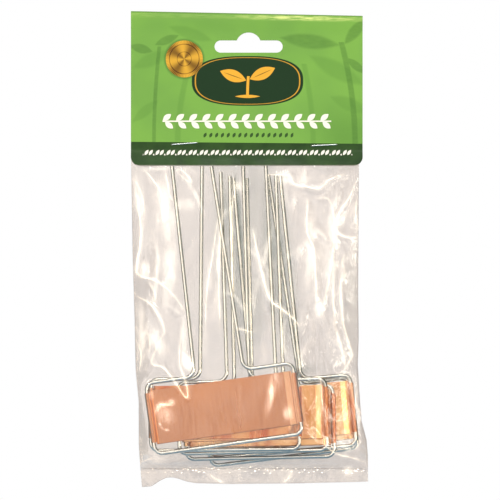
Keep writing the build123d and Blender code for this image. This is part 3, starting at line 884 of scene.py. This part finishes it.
def castDepths(xs, zs, trees):  # nearest and farthest depth of what is in the bag, in millimetres
    front = np.full((len(xs), len(zs)), np.inf)
    back = -front
    for tree, (low, high), shifts in trees:
        for shift in shifts:
            columns = cellsWithin(xs, low.x + shift.x, high.x + shift.x)
            rows = cellsWithin(zs, low.z + shift.z, high.z + shift.z)
            for i, k in ((i, k) for i in columns for k in rows):
                hit = depthsAt(tree, Vector((xs[i] * mm, 0, zs[k] * mm)) - shift)
                if hit is not None:
                    front[i, k] = min(front[i, k], (hit[0] + shift.y) / mm)
                    back[i, k] = max(back[i, k], (hit[1] + shift.y) / mm)
    return front, back


def spread(values, pick):  # each cell takes the outermost value of its neighbours
    reach = range(-film["spread"], film["spread"] + 1)
    outermost = values
    for dx, dz in ((dx, dz) for dx in reach for dz in reach):
        outermost = pick(outermost, np.roll(values, (dx, dz), (0, 1)))
    return outermost


def sampleGrid(grid, xs, zs, x, z, empty):
    i = np.clip(np.rint((x - xs[0]) / (xs[1] - xs[0])).astype(int), 0, len(xs) - 1)
    k = np.clip(np.rint((z - zs[0]) / (zs[1] - zs[0])).astype(int), 0, len(zs) - 1)
    return np.where((z < zs[0] - 0.5) | (z > zs[-1] + 0.5), empty, grid[i, k])


def filmGrid():
    sealZ, side = film["sealZ"], film["lowEdgeShadowShare"]
    inCard = np.linspace(film["mouthZ"], cardLow.z, 14)[:-1]
    heights = np.concatenate([inCard, np.arange(cardLow.z, sealZ, -film["spacing"]), [sealZ]])
    ends = side * (1 - np.cos(np.linspace(0, math.pi / 2, 14)))
    across = np.concatenate([ends[:-1], np.linspace(side, 1 - side, 94)[:-1], 1 - ends[::-1]])
    left, right = edgeAt(film["leftEdge"], heights), edgeAt(film["rightEdge"], heights)
    x = left + (right - left) * across[:, None]
    z = np.tile(heights, (len(across), 1))
    base = x[:, -1]
    for share in np.linspace(0, 1, 9)[1:]:  # the skirt under the seal
        low = sealZ + (np.interp(base, *zip(*film["skirtEdge"])) - sealZ) * share
        left, right = edgeAt(film["leftEdge"], low[0]), edgeAt(film["rightEdge"], low[-1])
        x = np.column_stack([x, left + (right - left) * across])
        z = np.column_stack([z, low])
    return across, x, z, len(inCard), len(heights) - 1


def creaseField(x, z, seed, lines):
    height, hazeAndGlare = np.zeros_like(x), np.zeros_like(x)
    rng = np.random.default_rng(seed)
    for points, width in lines:
        form = {name: value[0] + value[1] * width for name, value in crease.items() if np.ndim(value)}
        line = smoothLine(points, crease["step"])
        low, high = line.min(0) - crease["reach"], line.max(0) + crease["reach"]
        beside = (x > low[0]) & (x < high[0]) & (z > low[1]) & (z < high[1])
        distance = np.hypot(x[beside][:, None] - line[:, 0], z[beside][:, None] - line[:, 1])
        away, along = distance.min(1), distance.argmin(1) / (len(line) - 1)
        taper = np.sin(np.clip(along, 0.03, 0.97) * math.pi) ** 0.5
        ridge = np.exp(-away / form["ridgeWidth"]) * form["ridgeHeight"] * taper
        ridge *= crease["leastRidge"] + crease["unevenness"] * rng.random()
        height[beside] = np.maximum(height[beside], ridge)
        # painted highlight: a glint along each crease
        glint = np.exp(-(away / form["glintWidth"]) ** 2) * taper * form["glintStrength"]
        hazeAndGlare[beside] = np.maximum(hazeAndGlare[beside], glint)
    return height, hazeAndGlare


def looseLines(seed, count, low=-190, high=-58):  # made-up fine creases, mostly running with the bag
    rng = np.random.default_rng(seed)
    lines, steps = [], loose["steps"]
    for _ in range(count):
        x, z = rng.uniform(*loose["starts"]), rng.uniform(low, high)
        angle = rng.normal(math.pi / 2, loose["lean"])
        length = rng.uniform(*loose["length"])
        points = [(x, z)]
        for _ in range(steps):
            angle += rng.normal(0, loose["turn"])
            x, z = x + math.cos(angle) * length / steps, z + math.sin(angle) * length / steps
            points.append((np.clip(x, *loose["spanX"]), np.clip(z, *loose["spanZ"])))
        lines.append((points, rng.uniform(*loose["width"])))
    return lines


def bagDepths(x, z):  # the CAD bag's own front and back, read by rays at every grid point
    tree = rayTree("bag")
    front, back = np.full_like(x, np.nan), np.full_like(x, np.nan)
    for c, r in np.ndindex(x.shape):
        hit = depthsAt(tree, Vector((x[c, r] * mm, 0, z[c, r] * mm)))
        if hit is not None:
            front[c, r], back[c, r] = hit[0] / mm, hit[1] / mm
    for depths in (front, back):
        for r in range(x.shape[1]):
            found = np.isfinite(depths[:, r])
            if found.any():
                depths[:, r] = np.interp(x[:, r], x[found, r], depths[found, r])
            else:
                depths[:, r] = depths[:, r - 1]
    return front + film["thickness"] / 2, back - film["thickness"] / 2


def softened(start, limit, side, held):  # rounds the bag's flat faces into each other
    pick = np.minimum if side < 0 else np.maximum
    y = start.copy()
    for _ in range(film["rounds"]):
        around = y[:-2, 1:-1] + y[2:, 1:-1] + y[1:-1, :-2] + y[1:-1, 2:]
        y[1:-1, 1:-1] = around / 4 + side * film["puff"]
        y[held] = start[held]
        y = pick(y, limit)
    return y


def stakeLimits(x, z):  # how far in the film may come without touching what moves in it
    xs, zs = np.arange(*film["limitX"], 1.0), np.arange(*film["limitZ"], 1.0)
    front, back = castDepths(xs, zs, movingTrees())
    frontLimit = sampleGrid(spread(front, np.minimum), xs, zs, x, z, np.inf) - film["clearance"]
    backLimit = sampleGrid(spread(back, np.maximum), xs, zs, x, z, -np.inf) + film["clearance"]
    sealed = z < film["sealZ"] + 0.4
    return np.where(sealed, np.inf, frontLimit), np.where(sealed, -np.inf, backLimit)


def drapedSheets(x, z, firstFree, sealRow, frontLimit, backLimit):
    startFront, startBack = bagDepths(x, z)
    middle = (startFront + startBack) / 2
    held = np.zeros_like(x, bool)
    held[:, :firstFree + 1] = held[:, sealRow:] = held[[0, -1], :] = True
    for start in (startFront, startBack):
        start[[0, -1], :] = middle[[0, -1], :]
    return softened(startFront, frontLimit, -1, held), softened(startBack, backLimit, 1, held)


def shapeFilm():
    across, x, z, firstFree, sealRow = filmGrid()
    frontLimit, backLimit = stakeLimits(x, z)
    yFront, yBack = drapedSheets(x, z, firstFree, sealRow, frontLimit, backLimit)
    frontHeight, frontGlare = creaseField(x, z, 3, creaseLines + looseLines(11, 34, -152))
    backHeight, backGlare = creaseField(x, z, 5, looseLines(29, 70))
    thickness, sealZ, least = film["thickness"], film["sealZ"], film["leastRoom"]
    fromSide, belowSeal = np.minimum(across, 1 - across)[:, None], sealZ - z
    room = np.clip(fromSide / film["sideFade"], 0, 1) * np.clip(-belowSeal / film["sealFade"], 0, 1)
    room *= np.clip((cardLow.z + 1 - z) / film["cardFade"], 0, 1)
    rng = np.random.default_rng(8)
    slow = 0
    for _ in range(film["slowWaves"]):
        turns = x * rng.uniform(0.1, 0.35) + z * rng.uniform(-0.12, 0.12) + rng.uniform(0, 6)
        slow = slow + film["slowWave"] * np.sin(turns)
    frontRoom = np.maximum(yFront - cadLow.y - thickness, least)  # creases die out where the bag is full
    backRoom = np.maximum(cadHigh.y - yBack - thickness, least)
    yFront = np.minimum(yFront - frontRoom * np.tanh((frontHeight + slow) * room / frontRoom), frontLimit)
    backHeight = backHeight * film["backCreases"] + slow
    yBack = np.maximum(yBack + backRoom * np.tanh(backHeight * room / backRoom), backLimit)
    gap = card["thickness"] / 2 + thickness
    for c, r in np.argwhere(z >= cardLow.z):  # between the card's panels the film keeps behind them
        yFront[c, r] = max(yFront[c, r], gap - panelDepth(x[c, r], z[c, r], -1))
        yBack[c, r] = min(yBack[c, r], panelDepth(x[c, r], z[c, r], 1) - gap)
    yBack = np.maximum(yBack, yFront + 2 * film["mouthHalf"])
    skirt = film["skirtWave"] * np.sin(x * 0.22 + 0.8) * np.clip(belowSeal / 4, 0, 1)
    cornerX, wide = film["cornerPlace"]
    skirt -= film["cornerCurl"] * np.clip(belowSeal / 6, 0, 1) * np.exp(-((x - cornerX) / wide) ** 2)
    yFront = yFront + skirt
    yBack = np.where(fromSide < 1e-6, yFront, yBack + skirt)
    return x, z, yFront, yBack, frontGlare, backGlare


def softPlaces(points, places):  # strongest of the soft ovals at every point
    x, _, z = points.T
    most = np.zeros_like(x)
    for middleX, middleZ, wide, high, turn, strength in places:
        dx, dz = x - middleX, z - middleZ
        c, s = math.cos(math.radians(turn)), math.sin(math.radians(turn))
        away = ((dx * c + dz * s) / wide) ** 2 + ((dz * c - dx * s) / high) ** 2
        most = np.maximum(most, strength * np.exp(-away ** 1.5 * 1.6))
    return most


def ringOrder(front, back):  # row by row, along the front sheet and home along the back one
    return np.concatenate([front, back[-2:0:-1]]).T.ravel()


def makeFilm(material):
    x, z, yFront, yBack, frontGlare, backGlare = shapeFilm()
    columns, rows = x.shape
    ring = 2 * columns - 2
    points = np.column_stack([ringOrder(x, x), ringOrder(yFront, yBack), ringOrder(z, z)])
    faces = []
    for start in range(0, (rows - 1) * ring, ring):
        for c in range(ring):
            a, b = start + c, start + (c + 1) % ring
            faces.append((a, a + ring, b + ring, b))
    # painted highlights: crease glints and glare places on the front sheet, fainter crease glints on the back
    hazeAndGlare = ringOrder(frontGlare, backGlare * film["backGlare"])
    isFront = np.tile(np.arange(ring) < columns, rows)
    hazeAndGlare = np.where(isFront, np.maximum(hazeAndGlare, softPlaces(points, glarePlaces)), hazeAndGlare)
    shade = np.where(isFront, 0, softPlaces(points, shadePlaces))
    piece = newPiece("filmBag", points * mm, faces, material)
    for name, values in (("hazeAndGlare", hazeAndGlare), ("shade", shade)):
        attribute = piece.data.attributes.new(name, "FLOAT", "POINT")
        attribute.data.foreach_set("value", values.astype(np.float32))
    shell = bmesh.new()
    shell.from_mesh(piece.data)
    bmesh.ops.recalc_face_normals(shell, faces=shell.faces)
    shell.to_mesh(piece.data)
    shell.free()
    thicken(piece, film["thickness"], False)
    return piece, (x, z, yFront)


filmLook = {
    "tint": (0.910, 0.886, 0.871, 1.0),
    "lowShadedTint": (0.899, 0.874, 0.857, 1.0),
    "lowHeights": (-0.150, -0.196),  # metres, where the tint goes over into the low, shaded one: painted shade, darker towards the bottom
    "shadeTint": (0.39, 0.45, 0.42, 1.0),
    # veil colour of the film's faint haze and of its painted glare
    "hazeAndGlare": toLinear(250, 240, 224),
    "baseHaze": 0.008,
    "patchGlare": 0.42,
    "roughness": 0.10,
    "mostGloss": 0.10,
    "wrinkleScale": 150,
    "fineScale": 520,
    "wrinkleDepth": 0.0018,
    "refraction": 1.42,
}


def clearBody(tint, veil):  # lets light through, with a pale veil over it
    clear = make("ShaderNodeBsdfTransparent", {0: tint}, tree=veil.socket.id_data)
    return make("ShaderNodeAddShader", {0: clear, 1: make("ShaderNodeBsdfDiffuse", {0: veil})})


def makeFilmLook():
    look = filmLook
    material, point, surface = newMaterial("clearFilm")
    tree = surface.id_data
    painted, shaded = (
        make("ShaderNodeAttribute", output="Fac", tree=tree, attribute_name=name) for name in ("hazeAndGlare", "shade"))
    wrinkles = noise(drawnOut(point, 0.35), look["wrinkleScale"], 4, 0.55, 1.2)
    fine = noise(drawnOut(point, 0.5), look["fineScale"], 3, 0.6, 0.6)
    # painted shade: the film darker towards the bottom
    tint = mixColour(stepUp(axes(point)[2], *look["lowHeights"]), look["tint"], look["lowShadedTint"])
    tint = mixColour(shaded, tint, look["shadeTint"])
    broken = stepUp(wrinkles, 0.36, 0.66)
    # painted highlight patches, over a faint haze of the film itself
    patches = painted * (broken * look["patchGlare"] + look["patchGlare"] * 0.45)
    amount = calc("ADD", broken * 0.02 + look["baseHaze"], patches, clamp=True)
    body = clearBody(tint, mixColour(amount, black, look["hazeAndGlare"]))
    relief = bump(wrinkles * 0.8 + fine * 0.2, 0.6, look["wrinkleDepth"])
    gloss = make("ShaderNodeBsdfGlossy", {"Roughness": look["roughness"], "Color": plainWhite, "Normal": relief})
    fresnel = make("ShaderNodeFresnel", {"IOR": look["refraction"]}, tree=tree)
    feed(surface, mixShader(calc("MINIMUM", fresnel, look["mostGloss"]), body, gloss))
    return material


filmBag, frontSheet = makeFilm(makeFilmLook())
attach(filmBag, "pack")
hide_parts("bag")
print("film bag:", len(filmBag.data.polygons), "faces")


# Pressed folds: thin bright pleats along the creases, made by Geometry Nodes; their pale streaks are painted
# highlights along the crease lines

pleat = {
    "flatness": 0.3,
    "lift": 0.05,
    "step": 0.8,
    "widthScale": 0.7,
    "leastWidth": 0.12,
    "sides": 6,
    "brokenScale": 330,
    "tint": (0.97, 0.965, 0.955, 1),
    # painted highlights of the crease lines, broken into duller and brighter streaks
    "dull": toLinear(80, 74, 66),
    "bright": toLinear(160, 148, 130),
}


def newMaker(name, kinds):  # a tree with these inputs, each with its identifier and its value
    tree = bpy.data.node_groups.new(name, "GeometryNodeTree")
    tree.interface.new_socket("Geometry", in_out="OUTPUT", socket_type="NodeSocketGeometry")
    sockets = [tree.interface.new_socket(n, in_out="INPUT", socket_type="NodeSocket" + k) for n, k in kinds.items()]
    source = tree.nodes.new("NodeGroupInput")
    return tree, [s.identifier for s in sockets], [Value(source.outputs[n]) for n in kinds]


def grown(name, carrier, tree, result, material, settings):  # the carrier gives way to what the tree makes
    solid = make("GeometryNodeRealizeInstances", {0: result})
    painted = make("GeometryNodeSetMaterial", {"Geometry": solid, "Material": material})
    feed(tree.nodes.new("NodeGroupOutput").inputs[0], painted)
    maker = carrier.modifiers.new("maker", "NODES")
    maker.node_group = tree
    for identifier, value in settings.items():
        maker[identifier] = value
    mesh = evaluated(carrier)
    bpy.data.objects.remove(carrier)
    return addObject(name, mesh)


def makeVeilLook(name, dull, bright):
    material, point, surface = newMaterial(name)
    broken = stepUp(noise(point, pleat["brokenScale"], 3, 0.6), 0.3, 0.62)
    feed(surface, clearBody(pleat["tint"], mixColour(broken, dull, bright)))
    return material


def seatDepth(x, z):  # where a fold lies on the front sheet
    sheetX, sheetZ, yFront = frontSheet
    row = np.abs(sheetZ[0] - z).argmin()
    return np.interp(x, sheetX[:, row], yFront[:, row]) - film["thickness"] / 2 - pleat["lift"]


def pleatCurves(lines):
    curve = bpy.data.curves.new("pleats", "CURVE")
    curve.dimensions = "3D"
    for points, width in lines:
        line = smoothLine(points, pleat["step"])
        spline = curve.splines.new("POLY")
        spline.points.add(len(line) - 1)
        for i, (x, z) in enumerate(line):
            taper = max(pleat["leastWidth"], math.sin(i / (len(line) - 1) * math.pi) ** 0.6)
            spline.points[i].co = (x * mm, seatDepth(x, z) * mm, z * mm, 1)
            spline.points[i].radius = width * pleat["widthScale"] * taper
    return addObject("pleats", curve)


def makePleats(material):
    tree, keys, (geometry, width) = newMaker("pleatMaker", {"Geometry": "Geometry", "Width": "Float"})
    profile = make("GeometryNodeCurvePrimitiveCircle", {"Resolution": pleat["sides"], "Radius": width})
    radius = make("GeometryNodeInputRadius", tree=tree)
    parts = {"Curve": geometry, "Profile Curve": profile, "Scale": radius, "Fill Caps": True}
    sweep = make("GeometryNodeCurveToMesh", parts)
    made = grown("filmPleats", pleatCurves(creaseLines), tree, sweep, material, {keys[1]: mm})
    for vertex in made.data.vertices:  # pressed flat against the film
        seat = seatDepth(vertex.co.x / mm, vertex.co.z / mm) * mm
        vertex.co.y = max(seat + (vertex.co.y - seat) * pleat["flatness"], cadLow.y * mm)
    return made


filmPleats = makePleats(makeVeilLook("creaseHighlightFilm", pleat["dull"], pleat["bright"]))
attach(filmPleats, "pack")
print("film pleats:", len(filmPleats.data.polygons), "faces")


# Seal: a row of small pressed dimples across the bag, instanced along the seal line

seal = {
    "count": 96,
    "size": 0.42,
    "from": -47.0,
    "to": 53.5,
    "height": -197.3,
    "sway": 0.4,
    "drift": 1.5,
    "flatness": (1.0, 0.35, 0.7),
    "leastSize": 0.35,
    "mostSize": 1.1,
    "dull": toLinear(120, 115, 106),
    "bright": toLinear(232, 226, 214),
}


def makeSealDimples(material):
    tree, keys, (count, size) = newMaker("dimpleRow", {"Count": "Int", "Size": "Float"})
    depth = film["sealDepth"] - film["mouthHalf"] - film["thickness"] / 2
    first, last = (Vector((seal[end], depth, seal["height"])) * mm for end in ("from", "to"))
    ends = {"Count": count, "Start Location": first, "Offset": last}
    line = make("GeometryNodeMeshLine", ends, mode="END_POINTS")
    reach = Vector((seal["sway"], 0, seal["drift"])) * mm
    shift = make("FunctionNodeRandomValue", {0: -reach, 1: reach, "Seed": 4}, tree=tree, data_type="FLOAT_VECTOR")
    places = make("GeometryNodeSetPosition", {"Geometry": line, "Offset": shift})
    ball = make("GeometryNodeMeshIcoSphere", {"Subdivisions": 2, "Radius": size})
    dome = make("GeometryNodeTransform", {"Geometry": ball, "Scale": seal["flatness"]})
    sizes = {2: seal["leastSize"], 3: seal["mostSize"], "Seed": 9}
    vary = make("FunctionNodeRandomValue", sizes, 1, tree, data_type="FLOAT")
    domes = make("GeometryNodeInstanceOnPoints", {"Points": places, "Instance": dome, "Scale": vary})
    carrier = addObject("sealCarrier", bpy.data.meshes.new("sealCarrier"))
    settings = {keys[0]: seal["count"], keys[1]: seal["size"] * mm}
    made = grown("sealDimples", carrier, tree, domes, material, settings)
    smooth(made.data)
    return made


sealDimples = makeSealDimples(makeVeilLook("sealedFilm", seal["dull"], seal["bright"]))
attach(sealDimples, "pack")
print("seal dimples:", len(sealDimples.data.polygons), "faces")


# Stage, lights and camera

stage = {
    "floorZ": -0.48,
    "floorHalf": 1.1,
    "floorFront": -4.0,
    "wallHalf": 0.5,         # narrow, so that the wires' edges mirror the dim air beside it
    "wallTop": 2.2,
    "backY": 2.2,
    "bend": 0.3,
    "white": (0.93, 0.93, 0.92, 1.0),
    "coolFloor": (0.24, 0.44, 0.62, 1.0),
    "glossyFloor": 0.7,
    "farFloor": (0.9, 1.5),  # beyond the object's shadow the floor is plain white
}


def makeStageLook():
    material, point, surface = newMaterial("plainPale")
    tree = surface.id_data
    upright = stepUp(axes(point)[2], stage["floorZ"] + 0.01, stage["floorZ"] + 0.08)
    far = stepUp(make("ShaderNodeVectorMath", {0: point}, "Value", operation="LENGTH"), *stage["farFloor"])
    glossy = rayIs("Glossy", tree)
    glow = mixColour(glossy * (1.0 - upright), plainWhite, stage["coolFloor"])
    seen = largest(rayIs("Camera", tree), glossy, rayIs("Transmission", tree))
    white = largest(upright, far, calc("MAXIMUM", glossy, stage["glossyFloor"]))
    pale = make("ShaderNodeBsdfDiffuse", {0: stage["white"]}, tree=tree)
    feed(surface, mixShader(seen * white, pale, make("ShaderNodeEmission", {0: glow, 1: 1.0})))
    return material


def makeBackdrop():
    floorZ, backY, bend = stage["floorZ"], stage["backY"], stage["bend"]
    wide, narrow = stage["floorHalf"], stage["wallHalf"]
    profile = [(stage["floorFront"], floorZ, wide), (0.0, floorZ, wide), (backY - bend, floorZ, narrow)]
    for a in np.linspace(0, math.pi / 2, 13)[1:]:
        profile.append((backY - bend + bend * math.sin(a), floorZ + bend * (1 - math.cos(a)), narrow))
    profile.append((backY, stage["wallTop"], narrow))
    points = [(side * half, y, z) for side in (-1, 1) for y, z, half in profile]
    count = len(profile)
    faces = [(i, i + 1, count + i + 1, count + i) for i in range(count - 1)]
    backdrop = newPiece("backdrop", points, faces, makeStageLook())


makeBackdrop()

lampAim = Vector((0, 0, -0.1))
softboxes = [
    # name, place, width, height, radiance, colour: each shows as a stripe in the wires
    ("frontBox", (0.12, -2.0, 0.05), 1.95, 1.7, 1.68, (1.0, 0.985, 0.955)),
    ("leftBox", (-0.97, -1.15, 0.05), 0.92, 1.3, 2.3, (1.0, 0.98, 0.93)),
    ("topBox", (0.05, -0.9, 1.0), 1.3, 1.2, 1.9, (1.0, 1.0, 0.98)),
    ("rightBox", (1.08, -1.03, -0.29), 0.55, 0.28, 11.5, (1.0, 0.95, 0.80)),
    ("keyLamp", (-0.75, -1.15, 0.75), 0.22, 0.22, 24.0, (1.0, 0.985, 0.95)),
    ("overLamp", (-0.03, -1.05, 0.85), 0.3, 0.1, 14.0, (1.0, 0.99, 0.93)),
]
for name, place, width, height, radiance, colour in softboxes:
    lamp = bpy.data.lights.new(name, "AREA")
    lamp.shape = "RECTANGLE"
    lamp.size = width
    lamp.size_y = height
    lamp.energy = radiance * math.pi * width * height
    lamp.color = colour
    holder = addObject(name, lamp)
    holder.location = place
    holder.rotation_euler = (lampAim - Vector(place)).to_track_quat("-Z", "Y").to_euler()

airs = {                     # colour and strength of the air, by how it is seen
    "soft": ((0.92, 0.95, 1.0, 1), 0.2),
    "dim": ((0.26, 0.40, 0.38, 1), 0.30),
    "white": (plainWhite, 1.0),
}
world = bpy.data.worlds.new("studio")
bpy.context.scene.world = world
world.use_nodes = True
air = world.node_tree
air.nodes.clear()
soft, dim, white = (make("ShaderNodeBackground", enumerate(values), tree=air) for values in airs.values())
direct = largest(rayIs("Camera", air), rayIs("Transmission", air))
seenAir = mixShader(direct, mixShader(rayIs("Glossy", air), soft, dim), white)
feed(air.nodes.new("ShaderNodeOutputWorld").inputs[0], seenAir)

view = {"distance": 1.6, "centreX": 0.65, "centreZ": -94.6, "width": 232.5, "sensor": 36, "clipEnd": 20}
cameraData = bpy.data.cameras.new("camera")
cameraData.sensor_width = view["sensor"]
cameraData.lens = view["sensor"] * view["distance"] / (view["width"] * mm)
cameraData.clip_end = view["clipEnd"]
camera = addObject("camera", cameraData)
camera.location = (view["centreX"] * mm, -view["distance"], view["centreZ"] * mm)
camera.rotation_euler = (math.pi / 2, 0, 0)
scene = bpy.context.scene
scene.camera = camera
scene.view_settings.view_transform = "Standard"
scene.cycles.transparent_max_bounces = 24
print("stage set")
